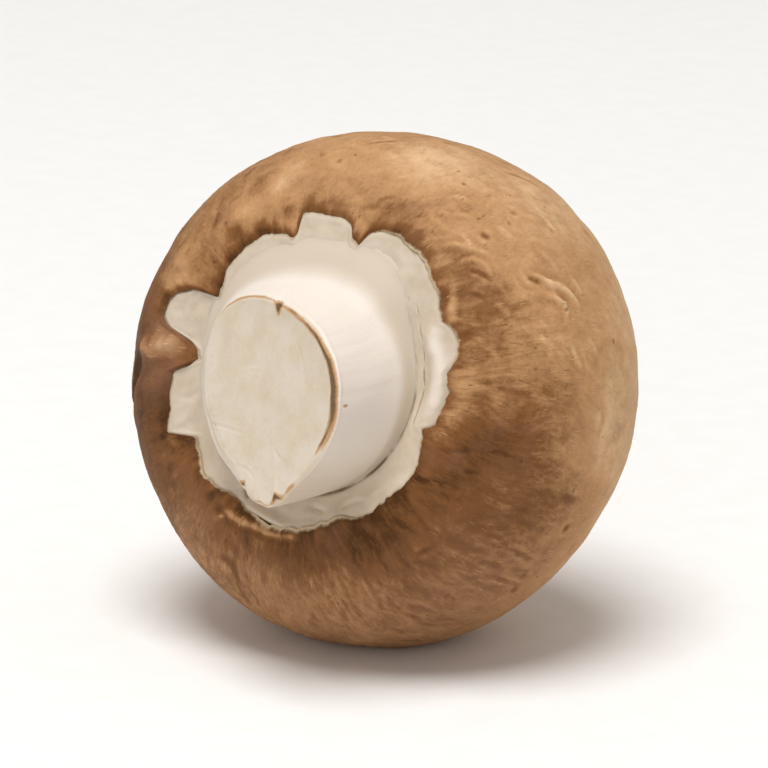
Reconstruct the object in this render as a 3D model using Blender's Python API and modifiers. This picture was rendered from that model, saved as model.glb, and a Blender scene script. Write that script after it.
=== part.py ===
"""A fresh brown mushroom with a closed cap, lying on its side on a small flat spot of that cap.

The cap, the veil and the stem are modelled about the mushroom's own axis, stem down and crown up,
and hang on one empty that lays them over. Lengths are in metres. Angles round the axis are in
degrees, anticlockwise from +X as seen from the cut end of the stem, so 90 is the upper side.
"""

import math

import bmesh
import bpy
from mathutils import Vector

MM = 0.001
FULL_TURN = 360.0

# Cap: heights are from the plane of its greatest width
CAP_RADIUS = 25.0 * MM
CROWN_HEIGHT = 17.5 * MM
CROWN_FULLNESS = 2.3
MARGIN_DROP = 15.0 * MM
MARGIN_FULLNESS = 2.15
MARGIN_FLAT_RADIUS = 13.5 * MM
CAP_SEGMENTS = 112
CROWN_RINGS = 15
MARGIN_RINGS = 12

# How the cap departs from round: share of the radius, how many swells, where the first one is
CAP_SWELLS = (
    (0.014, 1, 90.0),
    (0.006, 2, 0.0),
    (0.012, 3, 30.0),
)

# A crease in the skin, which runs from its torn edge out over the margin
CREASE_ANGLE = 189.0
CREASE_HALF_WIDTH = 4.5
CREASE_DEPTH = 0.8 * MM
CREASE_RADIUS = 17.5 * MM
CREASE_HALF_LENGTH = 4.5 * MM

# Torn edge of the brown skin: each tooth's angle and tip radius, then the radius of the bay after it
SKIN_TEETH = (
    (29.0, 16.0 * MM, 16.9 * MM),
    (74.5, 13.8 * MM, 16.0 * MM),
    (106.5, 13.4 * MM, 14.8 * MM),
    (149.5, 13.0 * MM, 17.4 * MM),
    (183.0, 12.8 * MM, 16.9 * MM),
    (215.0, 14.0 * MM, 15.0 * MM),
    (293.0, 14.0 * MM, 15.2 * MM),
    (346.5, 14.1 * MM, 17.0 * MM),
)
BAY_DEGREES_PER_POWER = 9.0
EDGE_POINTS = 120

# Veil: the white sheet between the skin's edge and the stem
FIT_GAP = 0.3 * MM
VEIL_SINK = 0.7 * MM
VEIL_THICKNESS = 2.0 * MM
VEIL_FUNNEL = 0.8 * MM
VEIL_RING_SHARES = (0.0, 0.35, 0.7, 1.0)
VEIL_FLAP_ANGLE = 14.0
VEIL_FLAP_HALF_WIDTH = 20.0
VEIL_FLAP_RISE = 0.7 * MM
CREVICE_WIDEST = 0.35 * MM
CREVICE_ANGLE = 320.0

# Stem
STEM_BASE_RADIUS = 11.0 * MM
STEM_WAIST_RADIUS = 9.8 * MM
STEM_FOOT_RADIUS = 9.6 * MM
STEM_CENTRE = (0.6 * MM, -0.4 * MM)
STEM_ROOT_DEPTH = 6.0 * MM
STEM_LENGTH = 6.9 * MM
STEM_SAG = 2.8 * MM
SAG_POWER = 1.4
STEM_SEGMENTS = 72
STEM_RINGS = 14
CUT_TILT = 20.0
TONGUE_ANGLE = 280.0
TONGUE_HALF_WIDTH = 11.0
TONGUE_REACH = 0.8 * MM

# Lying pose: the stem points to -Y, its end raised by this angle
STEM_RISE = 18.0
REST_FLAT_DEPTH = 1.0 * MM

FRESH_COLOURS = {
    "cap": ((0.36, 0.20, 0.10, 1.0), 0.62),
    "veil": ((0.78, 0.71, 0.60, 1.0), 0.7),
    "stem": ((0.84, 0.79, 0.70, 1.0), 0.65),
}

VEIL_FACE = -MARGIN_DROP + VEIL_SINK
VEIL_BACK = VEIL_FACE + VEIL_THICKNESS
RECESS_FLOOR = VEIL_BACK + FIT_GAP
SOCKET_FLOOR = RECESS_FLOOR + STEM_ROOT_DEPTH
CUT_HEIGHT = VEIL_FACE - STEM_LENGTH


def clear_scene():
    for obj in list(bpy.data.objects):
        bpy.data.objects.remove(obj)


def new_collection(name):
    collection = bpy.data.collections.new(name)
    bpy.context.scene.collection.children.link(collection)
    return collection


def new_object(name, data, collection):
    obj = bpy.data.objects.new(name, data)
    collection.objects.link(obj)
    return obj


def fresh_material(name):
    colour, roughness = FRESH_COLOURS[name]
    material = bpy.data.materials.new(name)
    material.use_nodes = True
    shader = material.node_tree.nodes["Principled BSDF"]
    shader.inputs["Base Color"].default_value = colour
    shader.inputs["Roughness"].default_value = roughness
    shader.inputs["Metallic"].default_value = 0.0
    return material


def as_mesh(obj):
    """Replaces an object by a mesh of what its modifiers or its curve make."""
    bpy.context.view_layer.update()
    graph = bpy.context.evaluated_depsgraph_get()
    mesh = bpy.data.meshes.new_from_object(obj.evaluated_get(graph))
    name, collection = obj.name, obj.users_collection[0]
    bpy.data.objects.remove(obj)
    return new_object(name, mesh, collection)


def turned(name, profile, segments, collection):
    """A solid of revolution about Z. The profile runs from its top to its bottom, both on the axis."""
    mesh = bpy.data.meshes.new(name)
    points = [(radius, 0.0, height) for radius, height in profile]
    edges = [(i, i + 1) for i in range(len(points) - 1)]
    mesh.from_pydata(points, edges, [])
    obj = new_object(name, mesh, collection)
    screw = obj.modifiers.new("Turn", "SCREW")
    screw.steps = screw.render_steps = segments
    screw.use_merge_vertices = True
    screw.merge_threshold = 0.01 * MM
    return as_mesh(obj)


def cut(obj, cutter):
    boolean = obj.modifiers.new(cutter.name, "BOOLEAN")
    boolean.operation = "DIFFERENCE"
    boolean.solver = "EXACT"
    boolean.object = cutter


def as_cutter(obj):
    obj.hide_render = True
    obj.display_type = "WIRE"
    return obj


def plate_cutter(name, ring, bottom, top, cutters):
    """A flat plate between two heights with a closed ring of points as its outline."""
    curve = bpy.data.curves.new(name, "CURVE")
    curve.dimensions = "2D"
    curve.fill_mode = "BOTH"
    curve.extrude = (top - bottom) / 2
    spline = curve.splines.new("POLY")
    spline.points.add(len(ring) - 1)
    for point, (x, y) in zip(spline.points, ring):
        point.co = (x, y, 0.0, 1.0)
    spline.use_cyclic_u = True
    plate = as_mesh(new_object(name, curve, cutters))
    bm = bmesh.new()
    bm.from_mesh(plate.data)
    bmesh.ops.remove_doubles(bm, verts=bm.verts, dist=0.01 * MM)
    bmesh.ops.recalc_face_normals(bm, faces=bm.faces)
    bmesh.ops.translate(bm, verts=bm.verts, vec=(0.0, 0.0, (top + bottom) / 2))
    bm.to_mesh(plate.data)
    bm.free()
    return as_cutter(plate)


def box_cutter(name, size, cutters):
    bpy.ops.mesh.primitive_cube_add(size=size)
    box = bpy.context.object
    box.name = name
    for owner in list(box.users_collection):
        owner.objects.unlink(box)
    cutters.objects.link(box)
    return as_cutter(box)


def on_ring(radius, angle):
    """A point of the XY plane at an angle seen from the stem's end."""
    return radius * math.cos(math.radians(angle)), -radius * math.sin(math.radians(angle))


def angle_of(x, y):
    return math.degrees(math.atan2(-y, x)) % FULL_TURN


def turn_angles(count):
    return [FULL_TURN * step / count for step in range(count)]


def apart(angle, other):
    """Degrees from one angle to another, the short way round."""
    return (angle - other + FULL_TURN / 2) % FULL_TURN - FULL_TURN / 2


def bump(distance, half_width):
    return math.exp(-((distance / half_width) ** 2))


def quarter(radius, height, fullness, steps):
    """Points of a rounded quarter, from the top of its axis out to its greatest radius."""
    power = 2 / fullness
    for step in range(steps + 1):
        turn = math.radians(90 * step / steps)
        yield radius * math.sin(turn) ** power, height * math.cos(turn) ** power


def cap_profile():
    crown = list(quarter(CAP_RADIUS, CROWN_HEIGHT, CROWN_FULLNESS, CROWN_RINGS))
    roll = CAP_RADIUS - MARGIN_FLAT_RADIUS
    margin = list(quarter(roll, MARGIN_DROP, MARGIN_FULLNESS, MARGIN_RINGS))
    underside = [(MARGIN_FLAT_RADIUS + radius, -height) for radius, height in reversed(margin)]
    return crown[:-1] + underside + [(0.0, -MARGIN_DROP)]


def cap_swell(angle):
    return 1 + sum(
        share * math.cos(count * math.radians(angle - first)) for share, count, first in CAP_SWELLS
    )


def crease(angle, radius, height):
    """How far the crease sinks into the cap's margin."""
    if height > 0:
        return 0.0
    across = bump(apart(angle, CREASE_ANGLE), CREASE_HALF_WIDTH)
    along = bump(radius - CREASE_RADIUS, CREASE_HALF_LENGTH)
    return CREASE_DEPTH * across * along


def skin_edge(angle):
    """Radius of the skin's torn edge: bays with steep ends, which meet in teeth."""
    for index, (start, tip, bay) in enumerate(SKIN_TEETH):
        end, next_tip, _ = SKIN_TEETH[(index + 1) % len(SKIN_TEETH)]
        width = (end - start) % FULL_TURN
        along = (angle - start) % FULL_TURN
        if along < width:
            break
    side = 2 * along / width - 1
    nearest_tip = tip if side < 0 else next_tip
    return bay - (bay - nearest_tip) * abs(side) ** (width / BAY_DEGREES_PER_POWER)


def edge_ring(inset):
    return [on_ring(skin_edge(angle) - inset, angle) for angle in turn_angles(EDGE_POINTS)]


def stem_ring(angle, gap):
    """A point just outside the stem's base."""
    x, y = on_ring(STEM_BASE_RADIUS + gap, angle)
    return x + STEM_CENTRE[0], y + STEM_CENTRE[1]


def make_cap(collection, cutters):
    cap = turned("cap", cap_profile(), CAP_SEGMENTS, collection)
    for vertex in cap.data.vertices:
        x, y, height = vertex.co
        angle, radius = angle_of(x, y), math.hypot(x, y)
        reach = min(1.0, radius / MARGIN_FLAT_RADIUS)
        share = 1 + (cap_swell(angle) - 1) * reach
        vertex.co = (x * share, y * share, height + crease(angle, radius, height))
    recess = plate_cutter(
        "recess_cutter", edge_ring(0.0), -2 * MARGIN_DROP, RECESS_FLOOR, cutters
    )
    socket_ring = [stem_ring(angle, FIT_GAP) for angle in turn_angles(STEM_SEGMENTS)]
    socket = plate_cutter("socket_cutter", socket_ring, -2 * MARGIN_DROP, SOCKET_FLOOR, cutters)
    cut(cap, recess)
    cut(cap, socket)
    return cap


def veil_height(angle, share):
    """Height of the veil's face, from the skin's edge at share 0 to the stem at share 1."""
    flap = VEIL_FLAP_RISE * bump(apart(angle, VEIL_FLAP_ANGLE), VEIL_FLAP_HALF_WIDTH)
    return VEIL_FACE + VEIL_FUNNEL * share**2 - flap * share


def make_veil(collection):
    """A loft from the skin's torn edge to the stem: a shallow funnel in front and flat behind."""
    outer = edge_ring(FIT_GAP)
    inner = [
        stem_ring(angle, FIT_GAP + CREVICE_WIDEST * bump(apart(angle, CREVICE_ANGLE), 60.0))
        for angle in turn_angles(EDGE_POINTS)
    ]
    bm = bmesh.new()
    rings = []
    for share in VEIL_RING_SHARES:
        ring = []
        for angle, start, end in zip(turn_angles(EDGE_POINTS), outer, inner):
            x, y = Vector(start).lerp(Vector(end), share)
            ring.append(bm.verts.new((x, y, veil_height(angle, share))))
        rings.append(ring)
    for points in (inner, outer):
        rings.append([bm.verts.new((x, y, VEIL_BACK)) for x, y in points])
    for ring, next_ring in zip(rings, rings[1:] + rings[:1]):
        for here in range(EDGE_POINTS):
            after = (here + 1) % EDGE_POINTS
            bm.faces.new((ring[here], ring[after], next_ring[after], next_ring[here]))
    bmesh.ops.recalc_face_normals(bm, faces=bm.faces)
    mesh = bpy.data.meshes.new("veil")
    bm.to_mesh(mesh)
    bm.free()
    return new_object("veil", mesh, collection)


def stem_radius(height):
    """Wide where it joins the cap and drawn in below the veil."""
    below = (VEIL_FACE - height) / STEM_LENGTH
    if below < 0:
        return STEM_BASE_RADIUS
    drawn_in = STEM_BASE_RADIUS - STEM_WAIST_RADIUS
    flare = (STEM_FOOT_RADIUS - STEM_WAIST_RADIUS) * below
    return STEM_WAIST_RADIUS + drawn_in * math.exp(-4 * below) + flare


def make_stem(collection, cutters):
    top = SOCKET_FLOOR - FIT_GAP
    bottom = CUT_HEIGHT - STEM_BASE_RADIUS * 1.5 * math.tan(math.radians(CUT_TILT))
    heights = [top + (bottom - top) * step / STEM_RINGS for step in range(STEM_RINGS + 1)]
    sides = [(stem_radius(height), height) for height in heights]
    profile = [(0.0, top)] + sides + [(0.0, bottom)]
    stem = turned("stem", profile, STEM_SEGMENTS, collection)
    for vertex in stem.data.vertices:
        x, y, height = vertex.co
        below = max(0.0, (VEIL_FACE - height) / STEM_LENGTH)
        tongue = TONGUE_REACH * below**2 * bump(apart(angle_of(x, y), TONGUE_ANGLE), TONGUE_HALF_WIDTH)
        share = 1 + tongue / max(MM, math.hypot(x, y))
        x, y = x * share + STEM_CENTRE[0], y * share + STEM_CENTRE[1]
        vertex.co = (x, y + STEM_SAG * below**SAG_POWER, height)
    size = 4 * STEM_BASE_RADIUS
    knife = box_cutter("stem_cutter", size, cutters)
    tilt = math.radians(CUT_TILT)
    outward = Vector((-math.sin(tilt), 0.0, -math.cos(tilt)))
    knife.rotation_euler = (0.0, tilt, 0.0)
    middle = Vector((STEM_CENTRE[0], STEM_CENTRE[1] + STEM_SAG, CUT_HEIGHT))
    knife.location = middle + outward * size / 2
    cut(stem, knife)
    return stem


def corners(objects):
    """Lowest and highest corner of what the objects' modifiers leave, in the world."""
    bpy.context.view_layer.update()
    graph = bpy.context.evaluated_depsgraph_get()
    points = []
    for obj in objects:
        evaluated = obj.evaluated_get(graph)
        points += [evaluated.matrix_world @ vertex.co for vertex in evaluated.data.vertices]
    low = Vector([min(point[axis] for point in points) for axis in range(3)])
    high = Vector([max(point[axis] for point in points) for axis in range(3)])
    return low, high


def lay_down(parts, cutters, collection):
    """Lays the mushroom on its side and flattens the spot of the cap that it rests on."""
    pose = new_object("laid_over", None, collection)
    pose.rotation_euler = (-math.radians(90 + STEM_RISE), 0.0, 0.0)
    for obj in parts + list(cutters.objects):
        obj.parent = pose
    low, high = corners(parts)
    pose.location = (-(low.x + high.x) / 2, -(low.y + high.y) / 2, -low.z - REST_FLAT_DEPTH)
    size = 4 * CAP_RADIUS
    ground = box_cutter("ground_cutter", size, cutters)
    ground.location = (0.0, 0.0, -size / 2)
    cut(parts[0], ground)


def main():
    clear_scene()
    mushroom = new_collection("brown_mushroom")
    cutters = new_collection("cutters")
    cap = make_cap(mushroom, cutters)
    veil = make_veil(mushroom)
    stem = make_stem(mushroom, cutters)
    parts = [cap, veil, stem]
    lay_down(parts, cutters, mushroom)
    for part in parts:
        part.data.materials.clear()
        part.data.materials.append(fresh_material(part.name))
        part.data.shade_smooth()
        part.data.set_sharp_from_angle(angle=math.radians(35))


main()
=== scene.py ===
import math

import bpy
import numpy as np
from mathutils import Matrix, Vector, noise


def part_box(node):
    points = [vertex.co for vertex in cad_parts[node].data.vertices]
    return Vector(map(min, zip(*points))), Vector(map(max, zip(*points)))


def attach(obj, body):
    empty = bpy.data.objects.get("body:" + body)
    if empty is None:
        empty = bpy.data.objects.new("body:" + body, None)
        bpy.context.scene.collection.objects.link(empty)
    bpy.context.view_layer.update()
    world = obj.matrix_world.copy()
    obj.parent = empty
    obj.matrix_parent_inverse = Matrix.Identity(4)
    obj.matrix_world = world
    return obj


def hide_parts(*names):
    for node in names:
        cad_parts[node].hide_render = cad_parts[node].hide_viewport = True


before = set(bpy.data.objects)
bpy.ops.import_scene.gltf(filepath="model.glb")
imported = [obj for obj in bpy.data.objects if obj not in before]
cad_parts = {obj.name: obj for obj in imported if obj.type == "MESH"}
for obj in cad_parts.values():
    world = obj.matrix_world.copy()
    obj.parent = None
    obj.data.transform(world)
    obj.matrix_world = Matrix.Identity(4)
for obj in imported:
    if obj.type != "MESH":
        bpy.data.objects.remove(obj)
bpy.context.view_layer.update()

# A fresh brown mushroom with a closed cap, lying on its side. Its pieces are worked out in
# millimetres about its own axis, crown up and stem down, and then laid over. Angles round that
# axis are in degrees, anticlockwise as seen from the stem's cut end, with 90 on the upper side.

mm = 0.001
fullTurn = 360.0


def bump(distance, halfWidth):
    return np.exp(-((distance / halfWidth) ** 2))


def apart(angle, other):
    return (angle - other + fullTurn / 2) % fullTurn - fullTurn / 2


def ramp(value, start, end):
    # 0 up to start, 1 from end on, soft between
    share = np.clip((value - start) / (end - start), 0.0, 1.0)
    return share * share * (3.0 - 2.0 * share)


def cloud(points, size, octaves=3, seed=0):
    # soft random values of about -1 to 1, the same in each run
    flat = np.asarray(points, float).reshape(-1, 3) / size + 17.31 * (seed + 1)
    values = [noise.fractal(point, 1.0, 2.0, octaves) for point in flat.tolist()]
    return np.array(values).reshape(np.shape(points)[:-1])


def onRing(radius, angle):
    turn = np.radians(angle)
    return radius * np.cos(turn), -radius * np.sin(turn)


def ringPoint(radius, angle, height):
    x, y = onRing(radius, angle)
    return np.stack([x, y, height + 0.0 * x], axis=-1)


def columnAngles(count):
    return np.arange(count) * fullTurn / count


def strokes(offsets, marks):
    # relief and tone of soft strokes. Each is a place, turn, length, bend, half width, rise, tone
    relief, tone = 0.0, 0.0
    for first, second, turned, length, bend, width, rise, shade in marks:
        across, out = offsets(first, second)
        tilt = math.radians(turned)
        run = (out * math.cos(tilt) + across * math.sin(tilt)) * 2.0 / length
        side = across * math.cos(tilt) - out * math.sin(tilt) - bend * (1.0 - run**2)
        ends = np.exp(-(run**4))
        flanks = 0.35 * bump(np.abs(side) - 2.1 * width, width)
        relief = relief + rise * ends * (bump(side, width) - flanks)
        # a lighter stroke gets darker flanks and a darker one lighter flanks: painted shade and painted
        # light beside them
        tone = tone + shade * ends * (bump(side, 1.2 * width) - 0.9 * flanks)
    return relief, tone


# The cap's form, as in the solid model

cap = {
    "radius": 25.0,
    "crownHeight": 17.5,
    "crownFullness": 2.3,
    "marginDrop": 15.0,
    "marginFullness": 2.15,
    "marginFlatRadius": 13.5,
    "swells": ((0.014, 1, 90.0), (0.006, 2, 0.0), (0.012, 3, 30.0)),  # share, count, first angle
    "recessFloor": -12.0,  # where the flesh closes behind the veil
    "stemRise": 18.0,  # degrees that the stem's end is raised
    "columns": 540,
    "crownRows": 50,
    "marginRows": 118,
}

# The torn edge of the skin round the veil, as angle and radius
skinEdge = (
    (3, 15.7), (10, 15.3), (15.5, 16.4), (20.5, 16.8), (26, 16.3), (28.5, 15.6), (34.5, 15.9),
    (43, 16.2), (51.5, 16.5), (61.5, 16.4), (69, 16.1), (73.2, 14.9), (74.8, 13.6), (78.5, 13.9),
    (81.6, 15.3), (83, 15.5), (89.5, 15.7), (96, 15.8), (102.2, 15.8), (103.8, 14), (105.5, 13.3),
    (108.5, 13.8), (115, 14.6), (123.5, 14.6), (131.5, 14.2), (140, 13.9), (145.5, 12.9),
    (150.2, 12.5), (151.8, 13.8), (154.5, 15.5), (159, 17), (163, 17.9), (168, 17.6), (170.5, 16.4),
    (171.4, 14.6), (172.6, 13.3), (175, 12.2), (179, 11.6), (183, 13), (185.4, 14.7), (191.5, 15.2),
    (199.5, 15.4), (206.8, 16.2), (209.3, 14.8), (213.5, 13.1), (221, 13.5), (228.5, 14.2),
    (236.5, 13.9), (246, 13.3), (253, 13.6), (263.5, 14.2), (279, 14.1), (287.5, 13.8), (294.5, 13.6),
    (300, 13.9), (304, 14.6), (310.5, 14.8), (319, 14.6), (326.5, 15.1), (334, 15.1), (342, 14.4),
    (348.5, 13.8), (351.6, 15), (357.5, 15.2),
)

skinRelief = {
    "edgeRag": ((0.9, 0.18), (0.35, 0.10)),  # size and height of the torn edge's rags
    "lumps": (9.0, 0.22),
    "dimples": (3.0, 0.07),
    "furrow": (0.9, 3.6, 0.05),  # width, length, height
    "pleat": (1.5, 1.3, 0.10),  # width, reach from the edge, height
    "lip": (0.55, 0.6, 0.10),  # distance from the edge, width, height
    "edgeRound": (0.3, 0.15),
    "quarters": ((285.0, 95.0), (125.0, 55.0)),  # lower and upper left: angle and half width
    "combing": (0.10, 0.15, 0.75, 0.35),  # least, all round, on the lower side, on the right
    "combedRight": (6.0, 26.0),
    # rows of the torn edge as it turns in: inwards, deeper, distance along the flesh
    "tear": (
        (0.06, 0.04, 0.1), (0.10, 0.13, 0.2), (0.09, 0.24, 0.32), (0.04, 0.36, 0.46),
        (-0.06, 0.6, 0.75),
    ),
    "behind": (3.0, 9.0, 14.0),
    "pits": (5, 60, 0.25, 0.6, 0.03, 0.09),  # seed, count, least and most width, least and most depth
}

# What stands, sinks or is tinted at one place of the skin. The place is an angle and an arc
# length from the crown; a turn of 0 runs towards the stem
# Most raised strokes are painted lighter, as painted highlights, as on the fold's tooth, and most sunk
# ones darker, as painted shade, as in the crease beside that fold
skinStrokes = (
    (188.4, 46.6, -50, 8, 0.3, 0.65, -0.35, 0.55),
    (176.5, 54.4, 0, 2.4, 0, 0.6, 0.1, -0.2),
    (178, 50.2, 60, 1.6, 0.2, 0.36, 0.2, -0.3),
    (180.5, 51.6, 30, 1.8, 0.2, 0.3, 0.14, -0.2),
    (176.6, 52.8, 80, 1.4, 0.2, 0.28, 0.12, -0.2),
    (178.6, 50.6, 0, 4.6, 0.3, 0.9, 0.46, -0.2),
    (175.8, 53.6, -35, 2.4, 0.2, 0.5, 0.26, -0.22),
    (183, 53, 8, 3, 0, 0.5, -0.2, 0.22),
    (191.5, 50, -10, 4.6, -0.3, 0.8, 0.3, -0.06),
    (47, 49.6, 45, 2.8, 0.3, 0.3, 0.28, -0.22),
    (44.8, 48, 62, 2.4, -0.3, 0.27, 0.2, -0.16),
    (42, 49.4, 30, 1.8, 0.3, 0.24, 0.14, -0.14),
    (37.5, 49.1, 49, 2.2, 0.2, 0.2, -0.1, 0.24),
    (28.7, 41.6, 37, 4.6, 0.6, 0.33, 0.34, -0.24),
    (25.6, 42.2, 62, 2.6, 0.5, 0.3, 0.26, -0.2),
    (31.2, 43.3, 46, 3, 0.5, 0.27, 0.22, -0.16),
    (22, 44, 30, 1.6, -0.3, 0.25, 0.12, -0.1),
    (31.5, 45.4, 50, 2.6, -0.4, 0.22, 0.11, -0.1),
    (32.8, 44.2, 32, 1.4, 0, 0.22, -0.07, 0.28),
    (32.5, 50.1, 40, 1.2, 0, 0.2, -0.06, 0.24),
    (32.5, 52.3, -67, 3.4, 0.2, 0.34, 0.14, -0.26),
    (89, 42.8, 43, 2.6, 0.1, 0.22, -0.06, 0.24),
    (61, 36.4, 43, 3.4, 0.2, 0.24, -0.08, 0.26),
    (45.8, 32.2, -75, 1.4, 0, 0.24, -0.06, 0.3),
    (47, 46.8, 60, 0.9, 0, 0.28, -0.08, 0.38),
    (50.5, 42.3, 20, 0.6, 0, 0.26, -0.06, 0.3),
    (44.5, 39, 0, 0.5, 0, 0.24, -0.05, 0.28),
    (95.5, 47.3, 0, 0.6, 0, 0.26, -0.05, 0.24),
    (327.5, 39.5, 6, 4.2, 0.2, 0.22, -0.07, 0.24),
    (316, 48, -72, 1.6, 0.1, 0.22, -0.07, 0.26),
    (303.2, 42.4, -14, 2.8, 0.1, 0.22, -0.07, 0.24),
    (318, 35.5, 20, 0.8, 0, 0.34, -0.1, 0.4),
    (336.5, 35.3, -10, 0.8, 0, 0.36, -0.1, 0.4),
    (310, 42.2, 0, 0.5, 0, 0.3, -0.08, 0.32),
    (236.5, 54, 20, 1.2, 0, 0.45, -0.1, 0.34),
    (243, 53.8, 60, 1.2, 0, 0.42, -0.1, 0.3),
    (256.5, 52.6, -30, 1.8, 0.2, 0.5, -0.08, 0.26),
    (252, 48.9, -60, 2.2, 0.2, 0.5, -0.07, 0.24),
    (218, 51.7, 10, 1.2, 0, 0.5, -0.07, 0.22),
    (222.5, 51, 70, 1.2, 0, 0.45, -0.07, 0.2),
    (245, 53.4, 0, 0.4, 0, 0.24, 0.14, -0.45),
    (269, 54.3, 90, 5, 0.1, 0.3, 0.13, -0.42),
    (254, 54.4, 84, 5, 0.2, 0.34, 0.12, -0.4),
    (209, 53.4, 75, 2.6, 0.2, 0.35, 0.12, -0.2),
)

# More of the same, scattered: seed, count, then from and to for angle, arc, turn, length, half
# width, rise and tone
# Where these stand they are mostly lighter and where they sink mostly darker: painted light and painted
# shade
skinScatter = (
    (11, 34, (12, 62), (38, 51), (35, 85), (1.2, 3.2), (0.2, 0.28), (0.04, 0.11), (-0.14, -0.04)),
    (12, 22, (5, 40), (40, 52), (-12, 14), (2, 5), (0.22, 0.32), (-0.05, -0.02), (0.02, 0.09)),
    (13, 60, (285, 352), (36, 52), (-26, 10), (1.2, 3.2), (0.18, 0.26), (-0.08, -0.03), (0.06, 0.2)),
    (14, 60, (280, 358), (34, 52), (-24, 24), (1.4, 3.4), (0.2, 0.28), (0.03, 0.08), (-0.12, -0.03)),
    (15, 60, (205, 290), (42, 54), (-28, 6), (1, 2.6), (0.2, 0.3), (-0.08, 0.05), (-0.08, 0.18)),
    (16, 44, (70, 165), (40, 53), (20, 150), (0.8, 2.4), (0.22, 0.34), (-0.07, 0.08), (-0.12, 0.14)),
    (17, 90, (0, 360), (4, 38), (0, 180), (1, 3.4), (0.3, 0.42), (-0.05, 0.01), (0.04, 0.18)),
)

# The skin's tone: its own pigment, with painted shade along the torn edge and on the darker sides, and
# painted light and shade in some patches and strokes
skinToneAndShading = {
    "plain": 0.42,  # 0 is pale and 1 is dark
    "crown": -0.25,
    "pits": 2,
    "furrows": -0.06,
    # painted shade in the scallops along the upper left torn edge
    "pleats": (0.6, 0.16),  # width and amount along the upper left edge
    # on the fold's tooth the painted edge shade is lighter
    "tooth": (178, 6, 0.8),  # the edge band is lighter here: angle, half width, share
    "crownMottle": 0.62,  # share of the mottling that the crown keeps
    # darker sides: the lower one partly by its own pigment and partly by painted shade, the left one by
    # painted shade where it faces away from the light; angle, half width, amount
    "sides": ((296, 52, 0.26), (190, 44, 0.46), (140, 30, 0.06)),
    # painted shade where the torn edge overhangs the veil
    "edgeShade": (0.8, 0.3),  # width, amount
    "shadeBand": (2.2, 1.9, 0.12),  # distance, width, amount
    # soft patches, most of them the skin's own blotches; some are painted shade, as the dark spots along
    # the upper left edge, and some painted light, as on the fold's tooth and low down where the cap rests:
    # angle, arc, size, amount
    "blotchesAndPaintedShading": (
        (350, 49.6, 3.4, 0.24), (343, 50.6, 2.6, 0.16), (332.5, 51.6, 2.6, 0.2),
        (312.5, 51.4, 3.2, 0.3), (297.5, 52, 2.8, 0.28), (276, 51.6, 2.8, 0.26),
        (3.5, 53.2, 1.6, -0.12), (357, 52.6, 1.6, -0.12), (352, 53.2, 1.2, -0.08),
        (63.5, 50.6, 2.6, 0.14), (57.5, 46.6, 2.2, 0.08), (31.5, 50.4, 2.4, 0.1),
        (27, 48.8, 2.4, 0.18), (8, 48.8, 2.8, 0.13), (30.5, 37.1, 2.8, 0.08), (0, 45, 3.4, 0.15),
        (18, 50.2, 2.2, 0.12), (42, 49.6, 2.6, 0.17), (71, 50.8, 2.6, 0.16), (83, 50.6, 2.4, 0.1),
        (10, 40.5, 3.4, 0.05), (118, 48, 4, 0.09), (248, 52, 3, 0.12), (278, 50, 3.2, -0.12),
        (272, 44.5, 4, -0.12), (284, 41.5, 4.5, -0.12), (350.5, 48.4, 2.6, 0.13), (352, 45, 2.6, 0.09),
        (0, 38, 3, 0.09), (328, 50, 3, 0.06), (157, 51.8, 2.4, -0.33), (262, 51.6, 2.4, 0.04),
        (265, 49.4, 2.6, -0.06), (184, 48.2, 2.4, 0.1), (335, 47.4, 3.4, 0.06), (9, 51.8, 1.6, -0.11),
        (22, 31, 8, -0.14), (52, 33, 6, -0.08), (352, 32, 5, -0.06), (54.5, 40.2, 5.5, -0.16),
        (76, 43.6, 4, -0.2), (98.5, 50.2, 2.2, 0.08), (109.5, 47.6, 1.8, -0.2),
        (112, 49.9, 1.4, -0.22), (124, 51.2, 1.7, -0.17), (149.5, 50.5, 1.9, -0.08),
        (129.5, 53, 0.9, 0.26), (118.5, 53.9, 0.9, 0.24), (107.5, 53, 1, 0.26),
        (99.5, 52.3, 0.9, 0.24), (91.5, 52.4, 0.9, 0.22), (186, 46, 4, 0.16), (205, 49, 5, 0.1),
        (358, 36, 5, -0.14), (340, 42, 5.6, 0.24), (344, 34.6, 3.6, 0.05), (14, 50.8, 2.2, 0.05),
        (310, 33, 8, 0.08), (2, 36, 4, -0.08), (232, 50, 4, -0.04), (294.5, 48, 2.6, -0.06),
        (176, 53, 2.4, -0.5),
    ),
    # rosier patches, in the same way
    "rosy": (
        (178.5, 52, 3, 1.3), (174.5, 54.2, 1.4, 0.9), (188, 52, 3, 0.7), (310, 38, 5, 0.55),
        (293, 42, 7, 0.7), (268, 46, 6, 0.6), (318, 43, 7, 0.5), (330, 35, 6, 0.4), (240, 50, 4, 0.4),
        (218, 52.6, 2, 0.3), (294, 54, 1.6, 0.5), (265, 49.8, 3, 0.35), (232, 51.8, 3, 0.45),
        (346, 46, 2.6, 0.35),
    ),
    # where the torn edge shows straw-coloured flesh: angle, half width, amount
    "straw": (
        (50, 22, 0.5), (18, 9, 0.25), (266, 16, 0.6), (292, 14, 0.55), (226, 14, 0.3),
    ),
}


def quarterLine(radius, height, fullness, steps=400):
    turn = np.radians(np.linspace(0.0, 90.0, steps + 1))
    power = 2.0 / fullness
    return radius * np.sin(turn) ** power, height * np.abs(np.cos(turn)) ** power


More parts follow.
